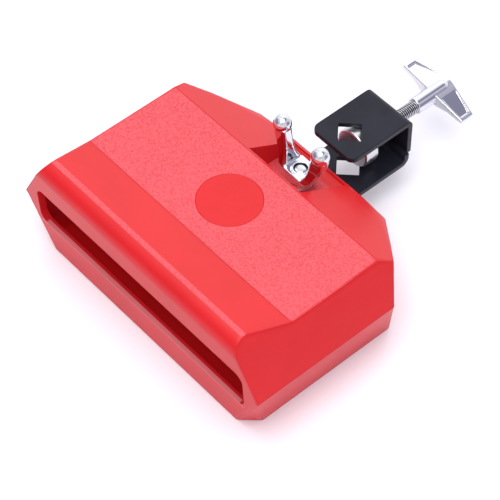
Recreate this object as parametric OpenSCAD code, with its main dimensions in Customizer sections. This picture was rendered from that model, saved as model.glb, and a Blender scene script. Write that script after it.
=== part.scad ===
// Hollow moulded-plastic block cowbell with a steel rod clamp.
// Millimetres, +Z up, mouth towards -Y. The origin is the centre of the rest face.

/* [Block] */
// Height of the flat playing face above the rest face
block_h = 62; // [60:0.5:66]
// Width of the flat playing face
top_w = 163.6; // [156:0.4:170]
// Width at the joint line between the two mouldings
waist_w = 191.6; // [186:0.4:198]
// Width of the rest face
base_w = 171.6; // [164:0.4:178]
// Height of the joint line
waist_z = 36; // [34.5:0.5:38]
// Thickness of the moulded wall
wall = 4.5; // [3.5:0.1:5]

/* [Mouth] */
// Width of the mouth slot
mouth_w = 169; // [150:1:174]
// Height of the lower edge of the mouth
mouth_low = 21; // [18:0.5:24]
// Height of the upper edge of the mouth
mouth_high = 48.5; // [44:0.5:50]

/* [Rod clamp] */
// Across-corners size of the diamond rod holes
diamond = 18; // [14:0.5:19]
// Width of the upper bracket plate
jaw_w = 33.5; // [31:0.5:35]
// Width of the lower bracket plate
base_plate_w = 38; // [36:0.5:40]
// Thickness of the bracket plates
plate_t = 3.5; // [3:0.1:3.6]
// Turn of the T-handle about its screw, in degrees
handle_turn = 9; // [-20:1:20]

/* [Wing nut] */
// Distance between the centres of the two balls
ball_gap = 31.2; // [30:0.2:34]
// Turn of the wing nut about its bolt, in degrees
nut_turn = -1.6; // [-10:0.2:10]

/* [Hidden] */
$fn = 64;
eps = 0.01;
big = 300;
running = 0.05;

// Block profile, from the side
ridge_y = 28.5;
rear_y = 64.8;
rear_z = 40.9;
crease_y = -31.5;
lip_run = 38;
lip_rise = 12.1;
lip_r = 9;
lip_steps = 16;
front_low_y = -64.8;
front_lean = 3.7;
side_slope = (waist_w - top_w) / 2 / (block_h - waist_z);
band_slope = (waist_w - base_w) / 2 / waist_z;
cut_x = 50.6;
cut_deg = 38.7;
corner_y = -54.5;
corner_lean = 24.1;
corner_turn = 42.7;
facet_x = 72.5;
facet_y = 47.2;
facet_rear_x = 30;
facet_drop = 2.2;
mouth_r = 6;
mouth_y = -50;

// Recess, tab and channel at the rear
bolt_y = 48.5;
recess_w = 42;
recess_z = 37.5;
recess_end = 63;
ramp_y = 56.5;
ramp_z = 41.9;
tab_z = 23;
channel_w = 62;
channel_y = 26;
inner_joint_z = 30;
pillar_wall = 4;
post_t = 6;
post_y = -60;
end_split = 1;

// Badge field on the playing face
badge_y = -2.5;
badge_r = 18.2;
groove_w = 0.5;
groove_d = 0.4;

// M8 fasteners
m8_r = 4;
m8_core_r = 3.4;
pitch = 1.25;
crest_from = 0.5;
crest_to = 0.6;
thread_fn = 48;
bush_r = 6;
bolt_top = 48.6;
bolt_head_r = 9;
bolt_head_h = 5;
head_taper = 3;
bolt_turns = 7;
bolt_tip_r = 2.6;
bolt_tip_h = 0.6;
neck = 8;
neck_gap = 0.1;
neck_short = 0.3;
washer_r = 7.5;
washer_t = 1.6;
nut_z = recess_z + washer_t;
hub_r = 7.4;
hub_neck_r = 5.4;
flange_h = 2.6;
saddle_w = 14;
saddle_h = 9.7;
ball_r = 5.3;
ball_z = 71.9;
wing_t = 6.4;
wing_waist_t = 7.6;
wing_low_z = saddle_h * 1.3;
wing_waist_z = saddle_h * 1.6;
wing_inset = 2;
ball_grip = ball_r * 0.9;
boss_r = 5.2;
boss_h = 0.4;

// Rod clamp
rod_y = 84.8;
jaw_top = 51.3;
jaw_front = 71;
jaw_back = 117.3;
jaw_bend = 1;
base_bend = 2;
plate_r = 5;
base_top = tab_z;
lap_y = jaw_back - plate_t;
web_low = 25.5;
lap_high = 28;
axis_z = 35.4;
weld_nut_r = 7;
weld_nut_t = 6;
foot_r = 12;
foot_t = 9;
foot_y = 87.35;
foot_bevel = 1;
foot_skin = 2;
tip_r = 3;
ring_r = 4.6;
ring_t = 1.2;
ring_y = 4;
end_gap = 0.3;
screw_turns = 27;
hub_front = 135;
hub_back = 157;
nose_r = 3;
screw_hub_r = 5;
handle_span = 49;
root_front = 147.4;
root_back = 162.4;
root_depth = 4.6;
apex_w = 5;
ridge_z = 4.1;
tip_front = 149;
tip_back = 158.2;
tip_top = 1.4;
gusset_x = 14;
gusset_z = 1.6;
pocket_x = 6.5;
pocket_front = 149.3;
pocket_back = 160.2;
pocket_z = 3.3;
pocket_end_z = 0.3;
pocket_rim = 2;
pocket_lip = 1.3;
stud_in = 8;

// Half width of the block above the joint line, with the wall inset t
function upper_x(z, t) = waist_w / 2 - (z - waist_z) * side_slope - t * norm([1, side_slope]);
// Half width of the block below the joint line, with the wall inset t
function lower_x(z, t) = base_w / 2 + z * band_slope - t * norm([1, band_slope]);

module section(t) {
    peak = block_h + lip_rise;
    meet = waist_z + t * (norm([1, band_slope]) - norm([1, side_slope])) / (side_slope + band_slope);
    polygon([
        [lower_x(t, t), t], [lower_x(meet, t), meet], [upper_x(peak, t), peak],
        [-upper_x(peak, t), peak], [-lower_x(meet, t), meet], [-lower_x(t, t), t]
    ]);
}

// Side view of the block, inset by t, as [y, z]
module side_view(t) {
    lip_deg = atan2(lip_rise, lip_run);
    slope_deg = atan2(block_h - rear_z, rear_y - ridge_y);
    corner = [crease_y - lip_run, block_h + lip_rise];
    turn = 90 + lip_deg + front_lean;
    reach = lip_r * tan(turn / 2);
    back_in = [sin(lip_deg), cos(lip_deg)];
    centre = corner + reach * [cos(lip_deg), -sin(lip_deg)] - lip_r * back_in;
    rear_in = rear_y - t;
    polygon(concat(
        [[front_low_y + t / cos(front_lean) - t * tan(front_lean), t]],
        [for (i = [0 : lip_steps]) centre + (lip_r - t)
            * [-cos(i * turn / lip_steps - front_lean), sin(i * turn / lip_steps - front_lean)]],
        [
            [crease_y - t * tan(lip_deg / 2), block_h - t],
            [ridge_y - t * tan(slope_deg / 2), block_h - t],
            [rear_in, block_h - (rear_in - ridge_y) * tan(slope_deg) - t / cos(slope_deg)],
            [rear_in, t]
        ]
    ));
}

// The block's outer form, or the cavity form when t is the wall thickness
module form(t) {
    intersection() {
        rotate([90, 0, 90]) translate([0, 0, -big / 2]) linear_extrude(big) side_view(t);
        translate([0, big / 2, 0]) rotate([90, 0, 0]) linear_extrude(big) section(t);
        rear_cuts(t);
    }
}

// Plan shape with the two rear corners cut off
module rear_cuts(t) {
    edge = rear_y + cut_x * tan(cut_deg) - t / cos(cut_deg);
    linear_extrude(big) polygon([
        [0, edge], [edge / tan(cut_deg), 0], [big, -big], [-big, -big], [-edge / tan(cut_deg), 0]
    ]);
}

// Small slanted cut at the lower front corner
module corner_cut(side) {
    mirror([side < 0 ? 1 : 0, 0, 0]) translate([base_w / 2, corner_y, 0])
        rotate([0, corner_lean, -corner_turn]) translate([0, -big / 2, -big / 2]) cube(big);
}

// Steeper facet on the outer corner of the rear slope
module facet_cut(side) {
    slope = (block_h - rear_z) / (rear_y - ridge_y);
    side_end = [facet_x, facet_y, block_h - (facet_y - ridge_y) * slope];
    rear_end = [facet_rear_x, rear_y, rear_z];
    low = [cut_x, rear_y, rear_z - facet_drop];
    n = cross(low - side_end, rear_end - side_end);
    mirror([side < 0 ? 1 : 0, 0, 0]) translate(side_end)
        rotate([0, acos(n[2] / norm(n)), atan2(n[1], n[0])])
        translate([-big / 2, -big / 2, 0]) cube(big);
}

module mouth() {
    rise = mouth_high - mouth_low;
    r = mouth_r;
    translate([0, mouth_y, 0]) rotate([90, 0, 0]) linear_extrude(big) {
        for (x = [-1, 1], z = [mouth_low + r, mouth_high - r])
            translate([x * (mouth_w / 2 - r), z]) circle(r);
        translate([-mouth_w / 2, mouth_low + r]) square([mouth_w, rise - 2 * r]);
        translate([r - mouth_w / 2, mouth_low]) square([mouth_w - 2 * r, rise]);
    }
}

// Solid core that carries the recess, the tab and the channel
module pillar() {
    upper_w = recess_w + 2 * pillar_wall;
    lower_w = channel_w + 2 * pillar_wall;
    translate([-upper_w / 2, channel_y - pillar_wall, tab_z]) cube([upper_w, big, big]);
    translate([-lower_w / 2, channel_y - pillar_wall, -eps])
        cube([lower_w, big, inner_joint_z + eps]);
}

// Recess for the wing nut, with a ramp up to the rear edge
module recess() {
    translate([-recess_w / 2, 0, 0]) rotate([90, 0, 90]) linear_extrude(recess_w)
        polygon([[ridge_y, recess_z], [ramp_y, recess_z], [recess_end, ramp_z],
            [recess_end, big], [ridge_y, big]]);
}

module block() {
    difference() {
        form(0);
        difference() {
            form(wall);
            pillar();
        }
        for (side = [-1, 1]) {
            corner_cut(side);
            facet_cut(side);
        }
        mouth();
        recess();
        translate([-channel_w / 2, channel_y, -eps]) cube([channel_w, big, tab_z + eps]);
        translate([0, bolt_y, 0]) cylinder(r = bush_r, h = big);
    }
}

// Everything that belongs to the upper moulding
module upper_zone() {
    inner_w = recess_w + 2 * pillar_wall;
    translate([-big / 2, -big / 2, waist_z]) cube(big);
    translate([-inner_w / 2, channel_y - pillar_wall, inner_joint_z])
        cube([inner_w, big, big]);
    for (side = [-1, 1]) mirror([side < 0 ? 1 : 0, 0, 0])
        translate([0, post_y, 0]) rotate([90, 0, 0]) linear_extrude(big)
            polygon([[mouth_w / 2 - post_t, mouth_low + post_t],
                [mouth_w / 2, mouth_low + post_t / 2],
                [waist_w / 2 + end_split, waist_z - end_split],
                [waist_w / 2 + end_split, waist_z + end_split],
                [mouth_w / 2 - post_t, waist_z + end_split]]);
}

module shell_top() {
    color("crimson") difference() {
        intersection() {
            block();
            upper_zone();
        }
        translate([0, badge_y, block_h - groove_d]) difference() {
            cylinder(r = badge_r, h = 1);
            translate([0, 0, -1]) cylinder(r = badge_r - groove_w, h = 3);
        }
    }
}

module shell_base() {
    color("firebrick") difference() {
        block();
        upper_zone();
    }
}

module tab_bush() {
    color("silver") translate([0, bolt_y, tab_z]) difference() {
        cylinder(r = bush_r, h = recess_z - tab_z);
        translate([0, 0, -1]) cylinder(r = m8_r + running, h = recess_z);
    }
}

// Ring grooves that stand for a cut thread, from z = 0 to z = turns * pitch
module thread(turns) {
    rotate_extrude($fn = thread_fn) polygon(concat(
        [[0, 0]],
        [for (i = [0 : turns - 1], p = [[m8_core_r, 0], [m8_r, crest_from], [m8_r, crest_to]])
            [p[0], (i + p[1]) * pitch]],
        [[m8_core_r, turns * pitch], [0, turns * pitch]]
    ));
}

module clamp_bolt() {
    head_z = base_top - plate_t;
    thread_z = bolt_top - bolt_turns * pitch - bolt_tip_h;
    color("gainsboro") translate([0, bolt_y, 0]) {
        translate([0, 0, head_z - bolt_head_h]) cylinder(r1 = bolt_head_r - head_taper,
            r2 = bolt_head_r, h = bolt_head_h);
        translate([-neck / 2, -neck / 2, head_z - eps]) cube([neck, neck, plate_t - neck_short]);
        translate([0, 0, head_z]) cylinder(r = m8_r, h = thread_z - head_z);
        translate([0, 0, thread_z]) thread(bolt_turns);
        translate([0, 0, bolt_top - bolt_tip_h])
            cylinder(r1 = m8_core_r, r2 = bolt_tip_r, h = bolt_tip_h);
    }
}

module nut_washer() {
    color("silver") translate([0, bolt_y, recess_z]) difference() {
        cylinder(r = washer_r, h = washer_t);
        translate([0, 0, -1]) cylinder(r = m8_r + running, h = washer_t + 2);
    }
}

// One wing of the nut: leans outwards and tapers towards its ball
module wing() {
    x0 = ball_gap / 2;
    rise = ball_z - nut_z;
    intersection() {
        translate([0, saddle_w / 2, 0]) rotate([90, 0, 0]) linear_extrude(saddle_w)
            polygon([[hub_r / 2, flange_h], [hub_r, flange_h], [x0 - wing_inset, wing_low_z],
                [x0 + ball_grip, rise], [x0 - ball_grip, rise], [saddle_w / 2, saddle_h]]);
        rotate([90, 0, 90]) linear_extrude(big)
            polygon([[-saddle_w / 2, 0], [saddle_w / 2, 0], [saddle_w / 2, saddle_h],
                [wing_waist_t / 2, wing_waist_z], [wing_t / 2, rise], [-wing_t / 2, rise],
                [-wing_waist_t / 2, wing_waist_z], [-saddle_w / 2, saddle_h]]);
    }
    translate([x0, 0, rise]) sphere(ball_r);
}

module wing_nut() {
    color("silver") translate([0, bolt_y, nut_z]) rotate([0, 0, nut_turn]) difference() {
        union() {
            cylinder(r = hub_r, h = flange_h);
            intersection() {
                translate([-saddle_w / 2, -saddle_w / 2, 0])
                    cube([saddle_w, saddle_w, saddle_h]);
                cylinder(r1 = hub_neck_r, r2 = saddle_w / sqrt(2), h = saddle_h);
            }
            cylinder(r = boss_r, h = saddle_h + boss_h);
            wing();
            mirror([1, 0, 0]) wing();
        }
        translate([0, 0, -1]) cylinder(r = m8_r + running, h = big);
    }
}

// Plate lying in XY with rounded corners at its -Y end, from y0 to y1
module tongue(w, y0, y1, t, r) {
    linear_extrude(t) {
        for (x = [-1, 1]) translate([x * (w / 2 - r), y0 + r]) circle(r);
        translate([r - w / 2, y0]) square([w - 2 * r, r]);
        translate([-w / 2, y0 + r]) square([w, y1 - y0 - r]);
    }
}

module diamond_hole() {
    translate([0, rod_y, 0]) rotate([0, 0, 45])
        translate([-diamond / sqrt(8), -diamond / sqrt(8), -1])
        cube([diamond / sqrt(2), diamond / sqrt(2), jaw_top + 2]);
}

module bracket_jaw() {
    bend = plate_t + jaw_bend;
    color([0.2, 0.2, 0.22]) difference() {
        union() {
            translate([0, 0, jaw_top - plate_t])
                tongue(jaw_w, jaw_front, jaw_back - bend, plate_t, plate_r);
            translate([-jaw_w / 2, lap_y, web_low])
                cube([jaw_w, plate_t, jaw_top - bend - web_low]);
            translate([-jaw_w / 2, jaw_back - bend, jaw_top - bend]) rotate([90, 0, 90])
                linear_extrude(jaw_w) difference() {
                    intersection() {
                        circle(bend);
                        square(bend);
                    }
                    circle(bend - plate_t);
                }
        }
        diamond_hole();
        translate([0, lap_y - 1, axis_z]) rotate([-90, 0, 0])
            cylinder(r = m8_r + running, h = plate_t + 2);
    }
}

module bracket_base() {
    low = base_top - plate_t;
    bend = plate_t + base_bend;
    color([0.16, 0.16, 0.18]) difference() {
        union() {
            translate([0, 0, low])
                tongue(base_plate_w, bolt_y - base_plate_w / 2, lap_y - bend, plate_t,
                    base_plate_w / 2 - eps);
            translate([-base_plate_w / 2, lap_y - plate_t, low + bend])
                cube([base_plate_w, plate_t, lap_high - low - bend]);
            translate([-base_plate_w / 2, lap_y - bend, low + bend]) rotate([90, 0, 90])
                linear_extrude(base_plate_w) difference() {
                    intersection() {
                        circle(bend);
                        translate([0, -bend]) square(bend);
                    }
                    circle(bend - plate_t);
                }
        }
        diamond_hole();
        translate([-neck / 2 - neck_gap, bolt_y - neck / 2 - neck_gap, low - 1])
            cube([neck + 2 * neck_gap, neck + 2 * neck_gap, plate_t + 2]);
    }
}

module weld_nut() {
    color([0.3, 0.3, 0.32]) translate([0, lap_y, axis_z]) rotate([90, 0, 0]) difference() {
        cylinder(r = weld_nut_r, h = weld_nut_t);
        translate([0, 0, -1]) cylinder(r = m8_r + running, h = weld_nut_t + 2);
    }
}

module clamp_screw() {
    shoulder = foot_y + foot_t + end_gap;
    thread_y = hub_front - screw_turns * pitch;
    color("silver") translate([0, 0, axis_z]) rotate([-90, 0, 0]) {
        translate([0, 0, foot_y + foot_skin + end_gap])
            cylinder(r = tip_r, h = foot_t - foot_skin + eps);
        translate([0, 0, shoulder]) cylinder(r = m8_r, h = thread_y - shoulder);
        translate([0, 0, thread_y]) thread(screw_turns);
        translate([0, 0, hub_front]) cylinder(r = m8_r, h = stud_in);
    }
}

// Shallow pocket in the top of one wing of the T-handle
module handle_pocket() {
    end = handle_span / 2 - pocket_rim;
    intersection() {
        linear_extrude(big) polygon([[pocket_x, pocket_front], [end, tip_front + pocket_lip],
            [end, tip_back - pocket_lip], [pocket_x, pocket_back]]);
        translate([0, hub_back + big / 2, 0]) rotate([90, 0, 0]) linear_extrude(big)
            polygon([[pocket_x, pocket_z], [end - 1, pocket_end_z], [end, pocket_end_z + 0.5],
                [end, ridge_z], [pocket_x, ridge_z]]);
    }
}

// Outline of the wings from above, cut to a roof by their outline from the front
module handle_wings() {
    reach = handle_span / 2;
    difference() {
        intersection() {
            translate([0, 0, -screw_hub_r]) linear_extrude(2 * screw_hub_r)
                polygon([[0, root_front], [reach, tip_front], [reach, tip_back],
                    [apex_w / 2, root_back], [-apex_w / 2, root_back], [-reach, tip_back],
                    [-reach, tip_front]]);
            translate([0, hub_back + big / 2, 0]) rotate([90, 0, 0]) linear_extrude(big)
                polygon([[-reach, tip_top], [0, ridge_z], [reach, tip_top], [reach, -tip_top],
                    [gusset_x, -gusset_z], [apex_w, -root_depth], [-apex_w, -root_depth],
                    [-gusset_x, -gusset_z], [-reach, -tip_top]]);
        }
        handle_pocket();
        mirror([1, 0, 0]) handle_pocket();
    }
}

module t_handle() {
    color("gainsboro") translate([0, 0, axis_z]) rotate([0, handle_turn, 0]) difference() {
        union() {
            translate([0, hub_front, 0]) rotate([-90, 0, 0])
                cylinder(r = screw_hub_r, h = hub_back - hub_front);
            translate([0, hub_back, 0]) rotate([-90, 0, 0])
                cylinder(r1 = screw_hub_r, r2 = nose_r, h = root_back - hub_back);
            handle_wings();
        }
        translate([0, hub_front - 1, 0]) rotate([-90, 0, 0]) cylinder(r = m8_r, h = stud_in + 1);
    }
}

module press_foot() {
    color("whitesmoke") translate([0, foot_y, axis_z]) rotate([-90, 0, 0]) difference() {
        union() {
            cylinder(r1 = foot_r - foot_bevel, r2 = foot_r, h = foot_bevel);
            translate([0, 0, foot_bevel]) cylinder(r = foot_r, h = foot_t - foot_bevel);
        }
        translate([0, 0, foot_skin]) cylinder(r = tip_r + running, h = foot_t);
        translate([0, 0, ring_y - end_gap])
            cylinder(r = ring_r + end_gap, h = ring_t + 2 * end_gap);
    }
}

module foot_ring() {
    color("dimgray") translate([0, foot_y + ring_y, axis_z]) rotate([-90, 0, 0]) difference() {
        cylinder(r = ring_r, h = ring_t);
        translate([0, 0, -1]) cylinder(r = tip_r, h = ring_t + 2);
    }
}

shell_top();
shell_base();
tab_bush();
clamp_bolt();
nut_washer();
wing_nut();
bracket_jaw();
bracket_base();
weld_nut();
clamp_screw();
t_handle();
press_foot();
foot_ring();
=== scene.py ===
"""Looks of the block cowbell: code-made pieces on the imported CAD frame, floor, light and camera."""

import math

import bmesh
import bpy
from mathutils import Matrix, Vector


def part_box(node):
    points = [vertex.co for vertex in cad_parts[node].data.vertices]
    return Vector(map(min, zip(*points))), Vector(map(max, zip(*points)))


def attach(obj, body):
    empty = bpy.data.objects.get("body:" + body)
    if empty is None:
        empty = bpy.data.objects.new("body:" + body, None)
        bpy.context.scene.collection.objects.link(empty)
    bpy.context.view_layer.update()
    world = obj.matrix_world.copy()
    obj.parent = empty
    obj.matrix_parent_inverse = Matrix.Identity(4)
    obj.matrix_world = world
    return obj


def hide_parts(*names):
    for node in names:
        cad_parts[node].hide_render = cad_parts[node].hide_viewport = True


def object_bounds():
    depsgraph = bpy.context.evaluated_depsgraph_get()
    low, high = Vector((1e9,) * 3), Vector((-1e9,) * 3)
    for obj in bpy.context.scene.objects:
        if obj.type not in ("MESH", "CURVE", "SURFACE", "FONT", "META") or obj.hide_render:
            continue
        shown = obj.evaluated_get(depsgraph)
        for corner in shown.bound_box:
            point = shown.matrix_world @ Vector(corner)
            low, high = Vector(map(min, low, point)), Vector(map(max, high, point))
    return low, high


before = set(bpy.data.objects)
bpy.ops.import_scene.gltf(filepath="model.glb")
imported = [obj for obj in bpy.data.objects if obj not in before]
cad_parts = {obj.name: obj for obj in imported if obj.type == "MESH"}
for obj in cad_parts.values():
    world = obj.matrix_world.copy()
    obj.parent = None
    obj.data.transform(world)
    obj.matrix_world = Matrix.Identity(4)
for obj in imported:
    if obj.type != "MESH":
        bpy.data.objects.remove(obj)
bounds_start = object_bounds()

MM = 0.001
BIG = 400.0
SHARP_ANGLE = math.radians(34)
# rounded edges closer than this are melted together
MERGE_GAP = 0.08


def mm_box(node):
    """The CAD node's corners in millimetres."""
    lo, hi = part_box(node)
    return lo / MM, hi / MM


# ---------------------------------------------------------------- mesh tools


def new_object(name, bm):
    """An object in millimetres from a bmesh."""
    bmesh.ops.recalc_face_normals(bm, faces=bm.faces[:])
    mesh = bpy.data.meshes.new(name)
    bm.to_mesh(mesh)
    bm.free()
    obj = bpy.data.objects.new(name, mesh)
    bpy.context.scene.collection.objects.link(obj)
    return obj


def evaluated(obj):
    """Applies the object's modifiers."""
    graph = bpy.context.evaluated_depsgraph_get()
    graph.update()
    mesh = bpy.data.meshes.new_from_object(obj.evaluated_get(graph))
    obj.modifiers.clear()
    obj.data = mesh
    return obj


def boolean(obj, tool, how, keep=False):
    """obj how tool, exactly."""
    mod = obj.modifiers.new("bool", "BOOLEAN")
    mod.operation = how
    mod.solver = "EXACT"
    mod.object = tool
    evaluated(obj)
    if not keep:
        bpy.data.objects.remove(tool)
    return obj


def copy_of(obj, name):
    other = obj.copy()
    other.data = obj.data.copy()
    other.name = name
    bpy.context.scene.collection.objects.link(other)
    return other


def prism(points, axis, low, high):
    """A closed prism: points is a planar outline, swept along axis from low to high."""
    place = {
        "x": lambda p, h: (h, p[0], p[1]),
        "y": lambda p, h: (p[0], h, p[1]),
        "z": lambda p, h: (p[0], p[1], h),
    }[axis]
    bm = bmesh.new()
    ends = [[bm.verts.new(place(p, h)) for p in points] for h in (low, high)]
    n = len(points)
    bm.faces.new(ends[0])
    bm.faces.new(ends[1][::-1])
    for i in range(n):
        k = (i + 1) % n
        bm.faces.new((ends[0][i], ends[0][k], ends[1][k], ends[1][i]))
    return bm


def block(low, high):
    """An axis-aligned box."""
    return prism(
        [(low[0], low[1]), (high[0], low[1]), (high[0], high[1]), (low[0], high[1])],
        "z",
        low[2],
        high[2],
    )


def cut(bm, point, normal):
    """Removes what lies beyond the plane, and closes the cut."""
    geom = bm.verts[:] + bm.edges[:] + bm.faces[:]
    found = bmesh.ops.bisect_plane(
        bm,
        geom=geom,
        plane_co=point,
        plane_no=normal,
        clear_outer=True,
        dist=1e-5,
    )
    edges = [e for e in found["geom_cut"] if isinstance(e, bmesh.types.BMEdge)]
    if edges:
        bmesh.ops.edgeloop_fill(bm, edges=edges)


def lathe(profile, steps=96, closed=False):
    """Spins (radius, height) points about Z."""
    bm = bmesh.new()
    rings = []
    for r, h in profile:
        if r < 1e-6:
            rings.append([bm.verts.new((0, 0, h))])
        else:
            rings.append(
                [
                    bm.verts.new(
                        (
                            r * math.cos(2 * math.pi * i / steps),
                            r * math.sin(2 * math.pi * i / steps),
                            h,
                        )
                    )
                    for i in range(steps)
                ]
            )
    pairs = list(zip(rings, rings[1:]))
    if closed:
        pairs.append((rings[-1], rings[0]))
    for a, b in pairs:
        for i in range(steps):
            k = (i + 1) % steps
            if len(a) == 1:
                bm.faces.new((a[0], b[k], b[i]))
            elif len(b) == 1:
                bm.faces.new((a[i], a[k], b[0]))
            else:
                bm.faces.new((a[i], a[k], b[k], b[i]))
    return bm


def arc(centre, r, start, end, steps):
    """Points on an arc, angles in degrees."""
    return [
        (
            centre[0] + r * math.cos(math.radians(start + (end - start) * i / steps)),
            centre[1] + r * math.sin(math.radians(start + (end - start) * i / steps)),
        )
        for i in range(steps + 1)
    ]


def rounded_outline(points, radii, steps=8):
    """A polygon with its corners rounded by the given radii."""
    out = []
    n = len(points)
    for i in range(n):
        p = Vector(points[i])
        a = (Vector(points[i - 1]) - p).normalized()
        b = (Vector(points[(i + 1) % n]) - p).normalized()
        r = radii[i]
        if r <= 0:
            out.append(tuple(p))
            continue
        half = math.acos(max(-1, min(1, a.dot(b)))) / 2
        reach = r / math.tan(half)
        centre = p + (a + b).normalized() * (r / math.sin(half))
        first, last = p + a * reach - centre, p + b * reach - centre
        turn = math.atan2(first.x * last.y - first.y * last.x, first.dot(last))
        for k in range(steps + 1):
            t = turn * k / steps
            out.append(
                (
                    centre.x + first.x * math.cos(t) - first.y * math.sin(t),
                    centre.y + first.x * math.sin(t) + first.y * math.cos(t),
                )
            )
    return out


def soften(obj, width, segments=3, limit=20.0):
    """Rounds edges. width is a number or a function of an edge's middle and its face normals."""
    bm = bmesh.new()
    bm.from_mesh(obj.data)
    bmesh.ops.remove_doubles(bm, verts=bm.verts[:], dist=1e-4)
    bmesh.ops.dissolve_limit(
        bm,
        angle_limit=math.radians(0.05),
        verts=bm.verts[:],
        edges=bm.edges[:],
        use_dissolve_boundaries=False,
    )
    layer = bm.edges.layers.float.new("bevel_weight_edge")
    widths = {}
    for e in bm.edges:
        if len(e.link_faces) != 2:
            continue
        angle = e.calc_face_angle(0)
        if angle < math.radians(limit):
            continue
        middle = (e.verts[0].co + e.verts[1].co) / 2
        normals = [f.normal for f in e.link_faces]
        w = width(middle, normals, angle) if callable(width) else width
        if w > 0:
            widths[e] = w
    top = max(widths.values()) if widths else 1.0
    for e, w in widths.items():
        e[layer] = w / top
    bm.to_mesh(obj.data)
    bm.free()
    mod = obj.modifiers.new("soften", "BEVEL")
    mod.limit_method = "WEIGHT"
    mod.offset_type = "OFFSET"
    mod.width = top
    mod.segments = segments
    mod.profile = 0.5
    mod.use_clamp_overlap = False
    mod.miter_outer = "MITER_SHARP"
    evaluated(obj)
    bm = bmesh.new()
    bm.from_mesh(obj.data)
    bmesh.ops.remove_doubles(bm, verts=bm.verts[:], dist=MERGE_GAP)
    bm.to_mesh(obj.data)
    bm.free()
    return obj


def kept_inside(obj, node):
    """Rounded edges may not pass the CAD node's box."""
    lo, hi = mm_box(node)
    for v in obj.data.vertices:
        v.co = [min(max(c, a), b) for c, a, b in zip(v.co, lo, hi)]
    return obj


def finish_mesh(obj):
    """Millimetres to metres, smooth shading with flat faces kept flat and steep edges sharp."""
    obj.data.transform(Matrix.Scale(MM, 4))
    for p in obj.data.polygons:
        p.use_smooth = True
    bm = bmesh.new()
    bm.from_mesh(obj.data)
    for e in bm.edges:
        e.smooth = len(e.link_faces) == 2 and e.calc_face_angle(0) < SHARP_ANGLE
    bm.to_mesh(obj.data)
    bm.free()
    mod = obj.modifiers.new("normals", "WEIGHTED_NORMAL")
    mod.mode = "FACE_AREA"
    mod.weight = 60
    mod.keep_sharp = True
    return obj


def place(obj, body, nodes, slot, material):
    """Puts the piece on its body, in place of the CAD nodes."""
    obj.data.materials.clear()
    obj.data.materials.append(material)
    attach(obj, body)
    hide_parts(*nodes)
    return obj


def turned(obj, axis):
    """Turns a piece made about Z so that it runs along +Y or -Z."""
    turn = {
        "+y": Matrix.Rotation(math.radians(-90), 4, "X"),
        "-z": Matrix.Rotation(math.radians(180), 4, "X"),
    }[axis]
    obj.data.transform(turn)
    return obj


def moved(obj, x=0.0, y=0.0, z=0.0):
    obj.data.transform(Matrix.Translation((x, y, z)))
    return obj


# ---------------------------------------------------------------- materials


def node_material(name):
    mat = bpy.data.materials.new(name)
    mat.use_nodes = True
    tree = mat.node_tree
    shader = tree.nodes["Principled BSDF"]
    return mat, tree, shader


def add(tree, kind, **values):
    node = tree.nodes.new(kind)
    for key, value in values.items():
        if hasattr(node, key):
            setattr(node, key, value)
        else:
            node.inputs[key].default_value = value
    return node


def wire(tree, a, out, b, into):
    tree.links.new(a.outputs[out], b.inputs[into])


def math_node(tree, op, a, b=None, clamp=False):
    """A math node. a and b are numbers or (node, output) pairs."""
    node = tree.nodes.new("ShaderNodeMath")
    node.operation = op
    node.use_clamp = clamp
    for i, v in enumerate((a, b)):
        if v is None:
            continue
        if isinstance(v, tuple):
            tree.links.new(v[0].outputs[v[1]], node.inputs[i])
        else:
            node.inputs[i].default_value = v
    return node


def noise(tree, coords, scale, detail=3.0, rough=0.55):
    node = add(tree, "ShaderNodeTexNoise", Scale=scale, Detail=detail, Roughness=rough)
    wire(tree, coords, "Object", node, "Vector")
    return node


def ramp(tree, source, out, low, high, to_low, to_high):
    node = tree.nodes.new("ShaderNodeMapRange")
    node.interpolation_type = "SMOOTHSTEP"
    node.inputs["From Min"].default_value = low
    node.inputs["From Max"].default_value = high
    node.inputs["To Min"].default_value = to_low
    node.inputs["To Max"].default_value = to_high
    tree.links.new(source.outputs[out], node.inputs["Value"])
    return node


def inside_box(tree, coords, low, high):
    """1 inside the box (metres), 0 outside it."""
    result = None
    split = add(tree, "ShaderNodeSeparateXYZ")
    wire(tree, coords, "Object", split, "Vector")
    for axis, lo, hi in zip("XYZ", low, high):
        above = math_node(tree, "GREATER_THAN", (split, axis), lo)
        below = math_node(tree, "LESS_THAN", (split, axis), hi)
        both = math_node(tree, "MULTIPLY", (above, "Value"), (below, "Value"))
        if result:
            both = math_node(tree, "MULTIPLY", (both, "Value"), (result, "Value"))
        result = both
    return result


def mixed(tree, factor, out, a, b):
    """A colour mix; a and b are colours or (node, output) pairs."""
    mix = add(tree, "ShaderNodeMix", data_type="RGBA")
    tree.links.new(factor.outputs[out], mix.inputs["Factor"])
    for socket, value in ((6, a), (7, b)):
        if isinstance(value[0], bpy.types.Node):
            tree.links.new(value[0].outputs[value[1]], mix.inputs[socket])
        else:
            mix.inputs[socket].default_value = (*value, 1)
    return mix


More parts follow.
